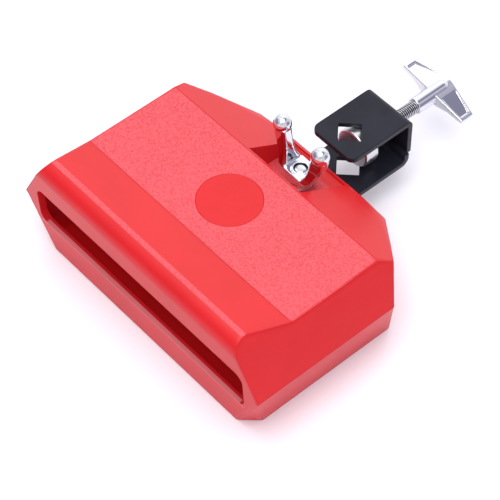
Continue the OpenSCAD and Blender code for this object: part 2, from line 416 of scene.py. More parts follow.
def plastic(name, color, pale, inside_glow, grained, badge=None):
    """Satin moulded plastic: a pale grain on the flat playing face but not on the badge field,
    painted light inside the mouth (a brighter red and a faint red glow), a painted highlight line on
    the mouth's lower edge."""
    mat, tree, shader = node_material(name)
    coords = add(tree, "ShaderNodeTexCoord")
    speck = noise(tree, coords, 850.0, 3.0, 0.7)
    cloud = noise(tree, coords, 28.0, 3.0, 0.5)
    fine = noise(tree, coords, 300.0, 2.0)
    normal = add(tree, "ShaderNodeSeparateXYZ")
    wire(tree, coords, "Normal", normal, "Vector")
    mask = ramp(tree, normal, "Z", 0.975, 0.995, 0.0, 1.0 if grained else 0.0)
    mask_out = "Result"
    if badge:
        offset = add(tree, "ShaderNodeVectorMath", operation="SUBTRACT")
        wire(tree, coords, "Object", offset, 0)
        offset.inputs[1].default_value = badge[:3]
        length = add(tree, "ShaderNodeVectorMath", operation="LENGTH")
        wire(tree, offset, "Vector", length, 0)
        outside = ramp(tree, length, "Value", badge[3] - 0.0003, badge[3], 0.0, 1.0)
        mask = math_node(tree, "MULTIPLY", (mask, "Result"), (outside, "Result"))
        mask_out = "Value"
    dots = ramp(tree, speck, "Fac", 0.35, 0.65, 0.45, 1.35)
    amount = math_node(tree, "MULTIPLY", (mask, mask_out), (dots, "Result"))
    skin = mixed(tree, amount, "Value", color, pale)
    # painted light: inside the hollow the red turns brighter, and further down it glows faintly
    hollow = inside_box(
        tree, coords, (-0.085, -0.0600, 0.003), (0.085, 0.0215, 0.054)
    )
    skin = mixed(tree, hollow, "Value", (skin, "Result"), inside_glow)
    place_z = add(tree, "ShaderNodeSeparateXYZ")
    wire(tree, coords, "Object", place_z, "Vector")
    # painted highlight: a pale line along the rounded lower edge of the mouth
    height = math_node(tree, "SUBTRACT", (place_z, "Z"), mouth_low * MM)
    away = math_node(tree, "ABSOLUTE", (height, "Value"))
    line = ramp(tree, away, "Value", 0.0001, 0.0006, 0.8, 0.0)
    lip = inside_box(tree, coords, (-0.084, -0.080, 0.018), (0.084, -0.0635, 0.024))
    line = math_node(tree, "MULTIPLY", (line, "Result"), (lip, "Value"))
    skin = mixed(tree, line, "Value", (skin, "Result"), (0.85, 0.28, 0.30))
    joint = math_node(tree, "SUBTRACT", (place_z, "Z"), waist_z * MM)
    joint_away = math_node(tree, "ABSOLUTE", (joint, "Value"))
    joint_line = ramp(tree, joint_away, "Value", 0.0001, 0.0003, 0.45, 0.0)
    skin = mixed(tree, joint_line, "Result", (skin, "Result"), (0.35, 0.01, 0.012))
    shade = add(tree, "ShaderNodeHueSaturation")
    value = ramp(tree, cloud, "Fac", 0.3, 0.7, 0.97, 1.03)
    wire(tree, value, "Result", shade, "Value")
    wire(tree, skin, "Result", shade, "Color")
    wire(tree, shade, "Color", shader, "Base Color")
    rough = ramp(tree, mask, mask_out, 0.0, 1.0, 0.34, 0.5)
    wire(tree, rough, "Result", shader, "Roughness")
    grain = math_node(tree, "MULTIPLY", (speck, "Fac"), (mask, mask_out))
    both = math_node(tree, "MULTIPLY_ADD", (fine, "Fac"), 0.07)
    tree.links.new(grain.outputs["Value"], both.inputs[2])
    bump = add(tree, "ShaderNodeBump")
    bump.inputs["Strength"].default_value = 0.7
    bump.inputs["Distance"].default_value = 0.00025
    wire(tree, both, "Value", bump, "Height")
    wire(tree, bump, "Normal", shader, "Normal")
    # painted glow: a faint red emission inside the hollow, though nothing there is a lamp
    glow = math_node(tree, "MULTIPLY", (hollow, "Value"), 0.008)
    shader.inputs["Emission Color"].default_value = (1.0, 0.03, 0.04, 1)
    wire(tree, glow, "Value", shader, "Emission Strength")
    gloss = ramp(tree, hollow, "Value", 0.0, 1.0, 0.38, 0.05)
    wire(tree, gloss, "Result", shader, "Specular IOR Level")
    shader.inputs["Subsurface Weight"].default_value = 0.05
    shader.inputs["Subsurface Radius"].default_value = (1.0, 0.15, 0.1)
    shader.inputs["Subsurface Scale"].default_value = 0.003
    return mat


def metal(name, color, rough, wear=0.0, bump_height=0.00002, thread=None, metallic=1.0):
    """Plated or turned metal with faint unevenness and painted shade in its hollows. thread is a
    point on the screw's axis and a scale that flattens that axis: the thread's grooves then get
    painted shade."""
    mat, tree, shader = node_material(name)
    coords = add(tree, "ShaderNodeTexCoord")
    cloud = noise(tree, coords, 160.0, 3.0)
    shader.inputs["Metallic"].default_value = metallic
    tone = add(tree, "ShaderNodeHueSaturation", Color=(*color, 1))
    value = ramp(tree, cloud, "Fac", 0.3, 0.7, 1.0 - wear, 1.0 + wear)
    wire(tree, value, "Result", tone, "Value")
    if thread:
        flat = add(tree, "ShaderNodeVectorMath", operation="SUBTRACT")
        wire(tree, coords, "Object", flat, 0)
        flat.inputs[1].default_value = thread[0]
        side = add(tree, "ShaderNodeVectorMath", operation="MULTIPLY")
        wire(tree, flat, "Vector", side, 0)
        side.inputs[1].default_value = thread[1]
        radius = add(tree, "ShaderNodeVectorMath", operation="LENGTH")
        wire(tree, side, "Vector", radius, 0)
        # painted shade: the thread's grooves, towards the core radius, are darkened
        painted_shade = ramp(tree, radius, "Value", 0.0036, 0.00385, 0.04, 1.0)
    else:
        # painted shade: ambient occlusion darkens the colour in hollows and corners
        hollow = add(tree, "ShaderNodeAmbientOcclusion", samples=8)
        hollow.inputs["Distance"].default_value = 0.0012
        wire(tree, tone, "Color", hollow, "Color")
        painted_shade = ramp(tree, hollow, "AO", 0.45, 0.95, 0.25, 1.0)
    dark = add(tree, "ShaderNodeVectorMath", operation="SCALE")
    wire(tree, tone, "Color", dark, 0)
    wire(tree, painted_shade, "Result", dark, "Scale")
    wire(tree, dark, "Vector", shader, "Base Color")
    rough_node = ramp(tree, cloud, "Fac", 0.25, 0.75, rough * 0.8, rough * 1.25)
    wire(tree, rough_node, "Result", shader, "Roughness")
    bump = add(tree, "ShaderNodeBump")
    bump.inputs["Strength"].default_value = 0.3
    bump.inputs["Distance"].default_value = bump_height
    wire(tree, cloud, "Fac", bump, "Height")
    wire(tree, bump, "Normal", shader, "Normal")
    return mat


def coated(name, color, rough, gloss):
    """Black powder coat on steel plate: a fine orange peel."""
    mat, tree, shader = node_material(name)
    coords = add(tree, "ShaderNodeTexCoord")
    peel = noise(tree, coords, 900.0, 2.0)
    cloud = noise(tree, coords, 45.0, 3.0)
    tone = add(tree, "ShaderNodeHueSaturation", Color=(*color, 1))
    value = ramp(tree, cloud, "Fac", 0.3, 0.7, 0.85, 1.15)
    wire(tree, value, "Result", tone, "Value")
    wire(tree, tone, "Color", shader, "Base Color")
    rough_node = ramp(tree, cloud, "Fac", 0.3, 0.7, rough * 0.9, rough * 1.1)
    wire(tree, rough_node, "Result", shader, "Roughness")
    bump = add(tree, "ShaderNodeBump")
    bump.inputs["Strength"].default_value = 0.25
    bump.inputs["Distance"].default_value = 0.00005
    wire(tree, peel, "Fac", bump, "Height")
    wire(tree, bump, "Normal", shader, "Normal")
    shader.inputs["Specular IOR Level"].default_value = gloss
    return mat


# ---------------------------------------------------------------- the block

top_lo, top_hi = mm_box("shell_top")
base_hi = mm_box("shell_base")[1]
bush_lo, bush_hi = mm_box("tab_bush")
bolt_lo, bolt_hi = mm_box("clamp_bolt")

waist_x = top_hi.x
waist_z = base_hi.z
rear_y = top_hi.y
top_x = 81.8
flat_z = 62.0
rest_x = 85.8
ridge_y = 28.5
rear_z = 40.9
crease_y = -31.5
lip_run, lip_rise, lip_r = 38.0, 12.1, 9.0
front_low_y, front_lean = -64.8, math.radians(3.7)
cut_x, cut_angle = 50.6, math.radians(38.7)
wall = 4.5
mouth_x, mouth_low, mouth_high, mouth_r = 84.4, 21.0, 48.5, 6.0
recess_x, recess_end, floor_z = 21.0, 62.2, bush_hi.z
ramp_y, ramp_z = 56.5, 41.0
recess_front = ridge_y + 1.2
tab_z = bush_lo.z
channel_x, channel_y = 31.0, 26.0
bolt_y = (bolt_lo.y + bolt_hi.y) / 2
side_slope = (waist_x - top_x) / (flat_z - waist_z)
band_slope = (waist_x - rest_x) / waist_z
badge_y, badge_r = -2.5, 18.2
pillar_wall, inner_joint_z, below = 4.0, 30.0, -5.0
# lower front corner: two points on the rest face, then the front one's height at the joint line
corner_front, corner_side, corner_top_y = (77.6, -63.4), (85.9, -54.4), -67.4
# steeper facet on the rear slope's outer corner
facet_x, facet_y, facet_rear_x, facet_drop = 72.5, 47.2, 30.0, 2.2


def side_outline(t):
    """The block's side view, inset by t, as (y, z)."""
    lip = math.atan2(lip_rise, lip_run)
    slope = math.atan2(flat_z - rear_z, rear_y - ridge_y)
    turn = math.pi / 2 + lip + front_lean
    reach = lip_r * math.tan(turn / 2)
    corner = Vector((crease_y - lip_run, flat_z + lip_rise))
    centre = (
        corner
        + reach * Vector((math.cos(lip), -math.sin(lip)))
        - lip_r * Vector((math.sin(lip), math.cos(lip)))
    )
    rear_in = rear_y - t
    points = [
        (front_low_y + t / math.cos(front_lean) - t * math.tan(front_lean), t),
    ]
    steps = 30
    for i in range(steps + 1):
        a = i * turn / steps - front_lean
        points.append(
            (
                centre.x - (lip_r - t) * math.cos(a),
                centre.y + (lip_r - t) * math.sin(a),
            )
        )
    points += [
        (crease_y - t * math.tan(lip / 2), flat_z - t),
        (ridge_y - t * math.tan(slope / 2), flat_z - t),
        (
            rear_in,
            flat_z - (rear_in - ridge_y) * math.tan(slope) - t / math.cos(slope),
        ),
        (rear_in, t),
    ]
    return points


def cut_by_points(bm, a, b, c, outwards):
    """Removes what lies beyond the plane through three points, on its outward side."""
    n = (b - a).cross(c - a).normalized()
    if n.dot(outwards) < 0:
        n.negate()
    cut(bm, a, n)


def form(t, name):
    """The outer block, or its cavity when t is the wall thickness."""
    bm = prism(side_outline(t), "x", -120, 120)
    for s in (-1, 1):
        for slope, z in ((side_slope, 1), (-band_slope, 1)):
            n = Vector((s, 0, slope)).normalized()
            cut(bm, Vector((s * waist_x, 0, waist_z)) - n * t, n)
        n = Vector((s * math.sin(cut_angle), math.cos(cut_angle), 0))
        cut(bm, Vector((s * cut_x, rear_y, 0)) - n * t, n)
        if t == 0:
            cut_by_points(
                bm,
                Vector((s * corner_front[0], corner_front[1], 0)),
                Vector((s * corner_side[0], corner_side[1], 0)),
                Vector((s * waist_x, corner_top_y, waist_z)),
                Vector((s, 0, 0)),
            )
            slope = (flat_z - rear_z) / (rear_y - ridge_y)
            cut_by_points(
                bm,
                Vector((s * facet_x, facet_y, flat_z - (facet_y - ridge_y) * slope)),
                Vector((s * facet_rear_x, rear_y, rear_z)),
                Vector((s * cut_x, rear_y, rear_z - facet_drop)),
                Vector((0, 0, 1)),
            )
    return new_object(name, bm)


def mouth_cutter():
    """The mouth slot with rounded corners."""
    pts = [
        (-mouth_x, mouth_low),
        (mouth_x, mouth_low),
        (mouth_x, mouth_high),
        (-mouth_x, mouth_high),
    ]
    outline = rounded_outline(pts, [mouth_r] * 4, 10)
    return new_object("mouth", prism(outline, "y", -90, -50))


def upper_zone():
    """The space of the upper moulding: above the joint line, and the tab inside."""
    inner = recess_x + pillar_wall
    zone = new_object("zone", block((-BIG, -BIG, waist_z), (BIG, BIG, BIG)))
    low = new_object(
        "zone_b",
        block((-inner, channel_y - pillar_wall, inner_joint_z), (inner, BIG, waist_z + 1)),
    )
    boolean(zone, low, "UNION")
    for s in (-1, 1):
        pts = [
            (s * (mouth_x - 6), mouth_low + 6),
            (s * (mouth_x - 1.5), mouth_low + 4.5),
            (s * (waist_x + 1), waist_z - 1),
            (s * (waist_x + 1), waist_z + 1),
            (s * (mouth_x - 6), waist_z + 1),
        ]
        wedge = new_object("wedge", prism(pts, "y", -200, -60))
        boolean(zone, wedge, "UNION")
    return zone


def outer_width(p, normals, angle):
    """How far each edge of the plain outer form is rounded. The joint line stays sharp."""
    if abs(p.z - waist_z) < 0.05:
        return 0.0
    if abs(p.y - ridge_y) < 0.05 and all(n.z > 0.5 for n in normals):
        return 0.4
    if any(
        (n.y < -0.9 and p.y < -60) or abs(n.x) > 0.8 or n.z > 0.8 or n.y > 0.5
        for n in normals
    ) or p.z < 0.1:
        return 1.2
    return 0.4


def opening_width(p, normals, angle):
    """How far the rims of the mouth and the recess are rounded."""
    if (
        abs(p.x) < mouth_x + 0.2
        and mouth_low - 0.2 < p.z < mouth_high + 0.2
        and p.y < -64
        and any(n.y < -0.9 for n in normals)
    ):
        return 0.7
    if abs(p.x) < recess_x + 0.1 and p.y > recess_front - 0.1 and p.z > floor_z - 0.1:
        if all(abs(n.z) < 0.1 for n in normals):
            return 0.9 if p.y < ramp_y else 0.5
        if not any(n.z > 0.7 and n.y > 0.3 for n in normals):
            return 0.0
        if abs(p.x) > recess_x - 0.1:
            return 1.2
        return 0.6
    return 0.0


outer = soften(form(0, "outer"), outer_width, 4, 12)
cavity = form(wall, "cavity")
for half_width, low, high in (
    (recess_x + pillar_wall, tab_z, BIG),
    (channel_x + pillar_wall, below, inner_joint_z),
):
    pillar = new_object(
        "pillar",
        block((-half_width, channel_y - pillar_wall, low), (half_width, BIG, high)),
    )
    boolean(cavity, pillar, "DIFFERENCE")
boolean(outer, cavity, "DIFFERENCE")
boolean(outer, mouth_cutter(), "DIFFERENCE")
recess_side = [
    (recess_front, floor_z),
    (ramp_y, floor_z),
    (recess_end, ramp_z),
    (recess_end, BIG),
    (recess_front, BIG),
]
boolean(
    outer,
    new_object("recess", prism(recess_side, "x", -recess_x, recess_x)),
    "DIFFERENCE",
)
boolean(
    outer,
    new_object(
        "channel", block((-channel_x, channel_y, below), (channel_x, BIG, tab_z))
    ),
    "DIFFERENCE",
)
bush_hole = new_object(
    "bush_hole", lathe([(0, 0), (bush_hi.x, 0), (bush_hi.x, 90), (0, 90)], 64)
)
boolean(outer, moved(bush_hole, y=bolt_y), "DIFFERENCE")

zone = upper_zone()
shell_top = copy_of(outer, "shell_top_skin")
boolean(shell_top, zone, "INTERSECT", keep=True)
shell_base = outer
shell_base.name = "shell_base_skin"
boolean(shell_base, zone, "DIFFERENCE")

groove = new_object(
    "groove",
    lathe(
        [
            (badge_r - 0.22, flat_z + 1),
            (badge_r - 0.22, flat_z - 0.12),
            (badge_r, flat_z - 0.3),
            (badge_r + 0.22, flat_z - 0.12),
            (badge_r + 0.22, flat_z + 1),
        ],
        160,
        closed=True,
    ),
)
boolean(shell_top, moved(groove, y=badge_y), "DIFFERENCE")

kept_inside(soften(shell_top, opening_width, 4, 12), "shell_top")
kept_inside(soften(shell_base, opening_width, 4, 12), "shell_base")

red = (0.71, 0.013, 0.018)
red_pale = (0.77, 0.10, 0.12)
# painted light: the brighter red used inside the hollow
red_inside_glow = (0.85, 0.02, 0.025)
upper_red = plastic(
    "red_plastic_upper",
    red,
    red_pale,
    red_inside_glow,
    True,
    (0.0, badge_y * MM, flat_z * MM, badge_r * MM),
)
lower_red = plastic("red_plastic_lower", (0.70, 0.014, 0.024), red_pale, red_inside_glow, False)
place(finish_mesh(shell_top), "block", ["shell_top"], "shell_upper", upper_red)
place(finish_mesh(shell_base), "block", ["shell_base"], "shell_lower", lower_red)

# ---------------------------------------------------------------- metal parts

chrome = metal("bright_chrome", (0.80, 0.81, 0.86), 0.06, 0.02)
zinc = metal("bright_zinc", (0.66, 0.67, 0.70), 0.2, 0.06, bump_height=0.00003)
foot_metal = metal("bright_foot", (0.74, 0.74, 0.77), 0.22, 0.04, metallic=0.9)
black = coated("black_coat", (0.018, 0.019, 0.029), 0.22, 0.18)
black_nut = coated("black_nut_coat", (0.02, 0.02, 0.024), 0.4, 0.4)
screw_z = 35.4
# this screw's thread grooves are darkened with painted shade
screw_zinc = metal(
    "threaded_zinc",
    (0.80, 0.80, 0.84),
    0.16,
    0.05,
    thread=((0, 0, screw_z * MM), (1, 0, 1)),
)


def ring_piece(name, node, inner, edge, along="z"):
    """A ring or a disc that fills the CAD node's box, with rounded edges."""
    lo, hi = mm_box(node)
    size = hi - lo
    h = size.z if along == "z" else size.y
    r = size.x / 2
    profile = [(inner, edge), (inner + edge, 0)]
    profile += arc((r - edge, edge), edge, -90, 0, 5)
    profile += arc((r - edge, h - edge), edge, 0, 90, 5)
    profile += [(inner + edge, h), (inner, h - edge)]
    obj = new_object(name, lathe(profile, 96, closed=True))
    if along == "y":
        turned(obj, "+y")
        return moved(obj, (lo.x + hi.x) / 2, lo.y, (lo.z + hi.z) / 2)
    return moved(obj, (lo.x + hi.x) / 2, (lo.y + hi.y) / 2, lo.z)


m8 = 4.0
m8_core = 3.4
pitch = 1.25
place(
    finish_mesh(ring_piece("tab_bush_skin", "tab_bush", m8 + 0.05, 0.35)),
    "block",
    ["tab_bush"],
    "zinc_steel",
    zinc,
)
place(
    finish_mesh(ring_piece("nut_washer_skin", "nut_washer", m8 + 0.05, 0.3)),
    "nut_carrier",
    ["nut_washer"],
    "zinc_steel",
    zinc,
)


def threaded_rod(length_from, length_to, low_end, high_end, steps=48):
    """A rod along Z with a helical M8 thread between the two heights, plain outside them.
    low_end and high_end are (radius, height) points that close the rod."""
    per_turn = 12
    rows = int((length_to - length_from) / pitch * per_turn) + 1
    bm = bmesh.new()
    rings = []
    for r, h in low_end:
        rings.append((r, h, False))
    for i in range(rows):
        rings.append((m8, length_from + i * pitch / per_turn, True))
    for r, h in high_end:
        rings.append((r, h, False))
    made = []
    for r, h, cut_thread in rings:
        row = []
        if r < 1e-6:
            made.append([bm.verts.new((0, 0, h))])
            continue
        for k in range(steps):
            a = 2 * math.pi * k / steps
            radius = r
            if cut_thread:
                phase = (h / pitch - k / steps) % 1.0
                depth = 1 - abs(2 * phase - 1)
                depth = min(1.0, max(0.0, depth * 2.0 - 0.6))
                fade = min(1.0, (h - length_from) / 1.6, (length_to - h) / 0.8)
                radius = m8 - (m8 - m8_core) * depth * max(0.0, fade)
            row.append(bm.verts.new((radius * math.cos(a), radius * math.sin(a), h)))
        made.append(row)
    for a, b in zip(made, made[1:]):
        for k in range(steps):
            j = (k + 1) % steps
            if len(a) == 1:
                bm.faces.new((a[0], b[j], b[k]))
            elif len(b) == 1:
                bm.faces.new((a[k], a[j], b[0]))
            else:
                bm.faces.new((a[k], a[j], b[j], b[k]))
    return bm


# clamp bolt: domed head, square neck, threaded end with a rounded tip
head_r = (bolt_hi.x - bolt_lo.x) / 2
plate_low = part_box("bracket_base")[0].z / MM
head_rim = 0.8
dome = [(0, bolt_lo.z)]
dome_h = plate_low - head_rim - bolt_lo.z
dome_steps = 12
for i in range(1, dome_steps + 1):
    a = math.radians(90 * i / dome_steps)
    dome.append((head_r * math.sin(a), plate_low - head_rim - dome_h * math.cos(a)))
dome += [(head_r, plate_low - 0.2), (head_r - 0.2, plate_low), (4.0, plate_low)]
bolt = new_object(
    "clamp_bolt_skin",
    threaded_rod(
        bolt_hi.z - 10.5,
        bolt_hi.z - 1.0,
        dome + [(m8, plate_low + 1.0)],
        [
            (m8 - 0.5, bolt_hi.z - 0.75),
            (2.9, bolt_hi.z - 0.3),
            (2.2, bolt_hi.z - 0.08),
            (0, bolt_hi.z),
        ],
    ),
)
neck = new_object(
    "neck", prism([(-4, -4), (4, -4), (4, 4), (-4, 4)], "z", plate_low, plate_low + 3.2)
)
boolean(bolt, neck, "UNION")
moved(bolt, y=bolt_y)
place(finish_mesh(bolt), "bracket", ["clamp_bolt"], "zinc_steel", zinc)

# bracket plates
jaw_lo, jaw_hi = mm_box("bracket_jaw")
lower_lo, lower_hi = mm_box("bracket_base")
plate_t = 3.5
rod_y, diamond = 84.8, 9.0
web_y = jaw_hi.y - plate_t


def diamond_tool():
    pts = [
        (0, rod_y - diamond),
        (diamond, rod_y),
        (0, rod_y + diamond),
        (-diamond, rod_y),
    ]
    return new_object(
        "diamond", prism(rounded_outline(pts, [0.5] * 4, 4), "z", 0, BIG)
    )


jaw_pts = [
    (jaw_lo.y, jaw_hi.z),
    (jaw_hi.y, jaw_hi.z),
    (jaw_hi.y, jaw_lo.z),
    (web_y, jaw_lo.z),
    (web_y, jaw_hi.z - plate_t),
    (jaw_lo.y, jaw_hi.z - plate_t),
]
jaw = new_object(
    "bracket_jaw_skin",
    prism(
        rounded_outline(jaw_pts, [0, plate_t + 1, 0, 0, 1.0, 0], 10),
        "x",
        jaw_lo.x,
        jaw_hi.x,
    ),
)
plan = rounded_outline(
    [
        (jaw_lo.x, jaw_lo.y),
        (jaw_hi.x, jaw_lo.y),
        (jaw_hi.x, jaw_hi.y + 5),
        (jaw_lo.x, jaw_hi.y + 5),
    ],
    [5, 5, 0, 0],
    10,
)
boolean(jaw, new_object("plan", prism(plan, "z", -10, 90)), "INTERSECT")
boolean(jaw, diamond_tool(), "DIFFERENCE")
hole = new_object(
    "hole", lathe([(0, 0), (m8 + 0.05, 0), (m8 + 0.05, 30), (0, 30)], 64)
)
boolean(jaw, moved(turned(hole, "+y"), y=web_y - 10, z=screw_z), "DIFFERENCE")
soften(jaw, 0.5, 3, 25)
place(finish_mesh(jaw), "bracket", ["bracket_jaw"], "black_plate", black)

low_pts = [
    (lower_lo.y, lower_lo.z),
    (lower_hi.y, lower_lo.z),
    (lower_hi.y, lower_hi.z),
    (lower_hi.y - plate_t, lower_hi.z),
    (lower_hi.y - plate_t, lower_lo.z + plate_t),
    (lower_lo.y, lower_lo.z + plate_t),
]
lower = new_object(
    "bracket_base_skin",
    prism(
        rounded_outline(low_pts, [0, plate_t + 2, 0, 0, 2.0, 0], 10),
        "x",
        lower_lo.x,
        lower_hi.x,
    ),
)
half = (lower_hi.x - lower_lo.x) / 2
plan = rounded_outline(
    [
        (lower_lo.x, lower_lo.y),
        (lower_hi.x, lower_lo.y),
        (lower_hi.x, lower_hi.y + 5),
        (lower_lo.x, lower_hi.y + 5),
    ],
    [half - 0.01, half - 0.01, 0, 0],
    24,
)
boolean(lower, new_object("plan", prism(plan, "z", -10, 90)), "INTERSECT")
boolean(lower, diamond_tool(), "DIFFERENCE")
square = new_object(
    "square", block((-4.1, bolt_y - 4.1, 0), (4.1, bolt_y + 4.1, 60))
)
boolean(lower, square, "DIFFERENCE")
soften(lower, 0.5, 3, 25)
place(finish_mesh(lower), "bracket", ["bracket_base"], "black_plate", black)

place(
    finish_mesh(ring_piece("weld_nut_skin", "weld_nut", m8 + 0.05, 0.6, "y")),
    "bracket",
    ["weld_nut"],
    "black_plate",
    black_nut,
)

# pressure foot: turned disc with a socket for the screw's tip
foot_lo, foot_hi = mm_box("press_foot")
foot_r = (foot_hi.x - foot_lo.x) / 2
foot_t = foot_hi.y - foot_lo.y
profile = [(0, 0), (foot_r - 1.4, 0)]
profile += arc((foot_r - 1.2, 1.2), 1.2, -90, 0, 6)
profile += arc((foot_r - 0.6, foot_t - 0.6), 0.6, 0, 90, 4)
profile += [(4.9, foot_t), (4.5, foot_t - 0.4), (3.05, foot_t - 0.4), (3.05, 2.0), (0, 2.0)]
foot = new_object("press_foot_skin", lathe(profile, 128))
moved(turned(foot, "+y"), y=foot_lo.y, z=screw_z)
place(finish_mesh(foot), "foot", ["press_foot"], "bright_foot", foot_metal)
place(
    finish_mesh(ring_piece("foot_ring_skin", "foot_ring", 3.0, 0.2, "y")),
    "screw",
    ["foot_ring"],
    "zinc_steel",
    zinc,
)

# clamp screw
screw_lo, screw_hi = mm_box("clamp_screw")
handle_lo, handle_hi = mm_box("t_handle")
shoulder = foot_hi.y + 0.3
hub_front = handle_lo.y
screw = new_object(
    "clamp_screw_skin",
    threaded_rod(
        hub_front - 27 * pitch,
        hub_front,
        [
            (0, screw_lo.y),
            (2.6, screw_lo.y),
            (3.0, screw_lo.y + 0.4),
            (3.0, shoulder),
            (3.6, shoulder),
            (m8, shoulder + 0.4),
        ],
        [(m8, hub_front + 0.1), (m8, screw_hi.y), (0, screw_hi.y)],
    ),
)
moved(turned(screw, "+y"), z=screw_z)
place(finish_mesh(screw), "screw", ["clamp_screw"], "zinc_steel", screw_zinc)


def remeshed(obj, voxel, smooth):
    """Melts a union of parts into one casting with soft edges."""
    mod = obj.modifiers.new("melt", "REMESH")
    mod.mode = "VOXEL"
    mod.voxel_size = voxel
    mod.adaptivity = 0.0
    mod = obj.modifiers.new("ease", "SMOOTH")
    mod.factor = 0.5
    mod.iterations = smooth
    evaluated(obj)
    return obj


def loft(sections):
    """Joins rings of equal length into a closed solid."""
    bm = bmesh.new()
    rings = [[bm.verts.new(p) for p in s] for s in sections]
    n = len(rings[0])
    for a, b in zip(rings, rings[1:]):
        for i in range(n):
            k = (i + 1) % n
            bm.faces.new((a[i], a[k], b[k], b[i]))
    bm.faces.new(rings[0][::-1])
    bm.faces.new(rings[-1])
    return bm


def between(table, t):
    """Values at t from rows of (t, value, ...), in straight lines."""
    for lo, hi in zip(table, table[1:]):
        if t <= hi[0]:
            k = (t - lo[0]) / (hi[0] - lo[0])
            return [u + (v - u) * k for u, v in zip(lo[1:], hi[1:])]
    return list(table[-1][1:])


# T-handle: hub with a ridge, two roof-shaped wings with a shallow pocket, cut-off tips
turn = math.radians(9)
reach = 24.5
hub_r = 5.0
nose_y = 156.6
handle_end = handle_hi.y
pocket_x, pocket_rim, pocket_low = 6.5, 2.0, 0.3
handle = new_object(
    "t_handle_skin",
    lathe(
        [
            (0, hub_front),
            (hub_r - 0.6, hub_front),
            (hub_r, hub_front + 0.6),
            (hub_r, nose_y),
            (hub_r - 0.1, nose_y + 1.0),
            (3.2, handle_end - 0.8),
            (2.6, handle_end - 0.4),
            (0, handle_end - 0.2),
        ],
        96,
    ),
)
turned(handle, "+y")
# distance from the middle, front edge, back edge, underside, top
wing_rows = [
    (0.0, 147.4, handle_end, -4.6, 4.1),
    (2.6, 147.6, handle_end, -4.6, 3.8),
    (hub_r, 147.7, 161.9, -4.6, 3.55),
    (14.0, 148.3, 160.1, -1.6, 2.55),
    (reach - 0.4, 149.0, 158.2, -1.4, 1.45),
    (reach, 149.4, 157.8, -1.1, 1.2),
]


def wing_section(x):
    front, back, low, high = between(wing_rows, abs(x))
    pts = rounded_outline(
        [(front, low), (back, low), (back, high), (front, high)], [0.5] * 4, 4
    )
    return [(x, u, v) for u, v in pts]


half_stations = [0.4, 2.6, hub_r, 8, 11, 14, 18, 22, reach - 0.4, reach]
stations = [-x for x in half_stations[::-1]] + half_stations
wings = new_object("wings", loft([wing_section(x) for x in stations]))
for s in (-1, 1):
    pocket = [
        (s * pocket_x, 149.3),
        (s * (reach - pocket_rim), 150.3),
        (s * (reach - pocket_rim), 156.9),
        (s * pocket_x, 160.2),
    ]
    tool = new_object(
        "pocket", prism(rounded_outline(pocket, [1.0] * 4, 5), "z", -20, 20)
    )
    floor_line = [
        (s * pocket_x, 3.4),
        (s * (reach - 3.2), pocket_low),
        (s * (reach - 1.9), pocket_low + 0.5),
        (s * (reach - 1.9), 20),
        (s * pocket_x, 20),
    ]
    wedge = new_object("wedge", prism(floor_line, "y", 140, 170))
    boolean(tool, wedge, "INTERSECT")
    boolean(wings, tool, "DIFFERENCE")
boolean(handle, wings, "UNION")
socket = new_object(
    "socket",
    lathe(
        [(0, hub_front - 1), (m8, hub_front - 1), (m8, screw_hi.y), (0, screw_hi.y)], 64
    ),
)
boolean(handle, turned(socket, "+y"), "DIFFERENCE")
remeshed(handle, 0.16, 6)
handle.data.transform(Matrix.Rotation(turn, 4, "Y"))
moved(handle, z=screw_z)
place(finish_mesh(handle), "screw", ["t_handle"], "chrome_casting", chrome)

# wing nut
nut_lo, nut_hi = mm_box("wing_nut")
ball_r = 5.3
ball_z = nut_hi.z - ball_r
ball_x = 15.6
nut_z = nut_lo.z
nut_turn = math.radians(-1.6)
saddle = 9.7
nut = new_object(
    "wing_nut_skin",
    lathe(
        [
            (0, 0),
            (7.0, 0),
            (7.4, 0.4),
            (7.4, 2.4),
            (7.1, 3.2),
            (7.0, 7),
            (0, 7),
        ],
        96,
    ),
)
block_top = new_object(
    "hub_block",
    loft(
        [
            [
                (u, v, h)
                for u, v in rounded_outline(
                    [(-r, -r), (r, -r), (r, r), (-r, r)], [c] * 4, 6
                )
            ]
            for h, r, c in ((2.0, 6.2, 5.8), (6.0, 6.8, 4.0), (saddle, 7.0, 1.2))
        ]
    ),
)
boolean(nut, block_top, "UNION")
# height above the nut's base, inner edge, outer edge, half depth
nut_rows = [
    (3.0, 0.5, 7.6, 5.8),
    (6.0, 3.0, 9.8, 6.5),
    (9.0, 6.0, 12.0, 6.9),
    (10.2, 6.8, 12.9, 6.3),
    (12.0, 7.5, 14.0, 5.2),
    (15.0, 8.2, 15.6, 4.2),
    (19.0, 9.0, 17.4, 3.7),
    (25.0, 10.0, 19.4, 3.5),
    (30.0, 10.9, 20.3, 3.6),
    (33.0, 11.6, 19.4, 3.3),
]
for s in (-1, 1):
    sections = []
    for h, inner, outer_edge, depth in nut_rows:
        pts = rounded_outline(
            [
                (inner, -depth),
                (outer_edge, -depth * 0.9),
                (outer_edge, depth * 0.9),
                (inner, depth),
            ],
            [min(1.9, depth * 0.5)] * 4,
            6,
        )
        sections.append([(s * u, v, h) for u, v in pts])
    boolean(nut, new_object("wing", loft(sections)), "UNION")
    ball = new_object("ball", lathe(arc((0, 0), ball_r, -90, 90, 32), 64))
    boolean(nut, moved(ball, s * ball_x, 0, ball_z - nut_z), "UNION")
boss = lathe([(0, 5), (5.3, 5), (5.2, saddle + 0.2), (4.9, saddle + 0.4), (0, saddle + 0.4)], 96)
boolean(nut, new_object("boss", boss), "UNION")
bore = new_object("bore", lathe([(0, -2), (m8 + 0.05, -2), (m8 + 0.05, 60), (0, 60)], 64))
boolean(nut, bore, "DIFFERENCE")
remeshed(nut, 0.2, 7)
nut.data.transform(Matrix.Rotation(nut_turn, 4, "Z"))
moved(nut, y=bolt_y, z=nut_z)
place(finish_mesh(nut), "wing_nut", ["wing_nut"], "chrome_casting", chrome)

# ---------------------------------------------------------------- studio


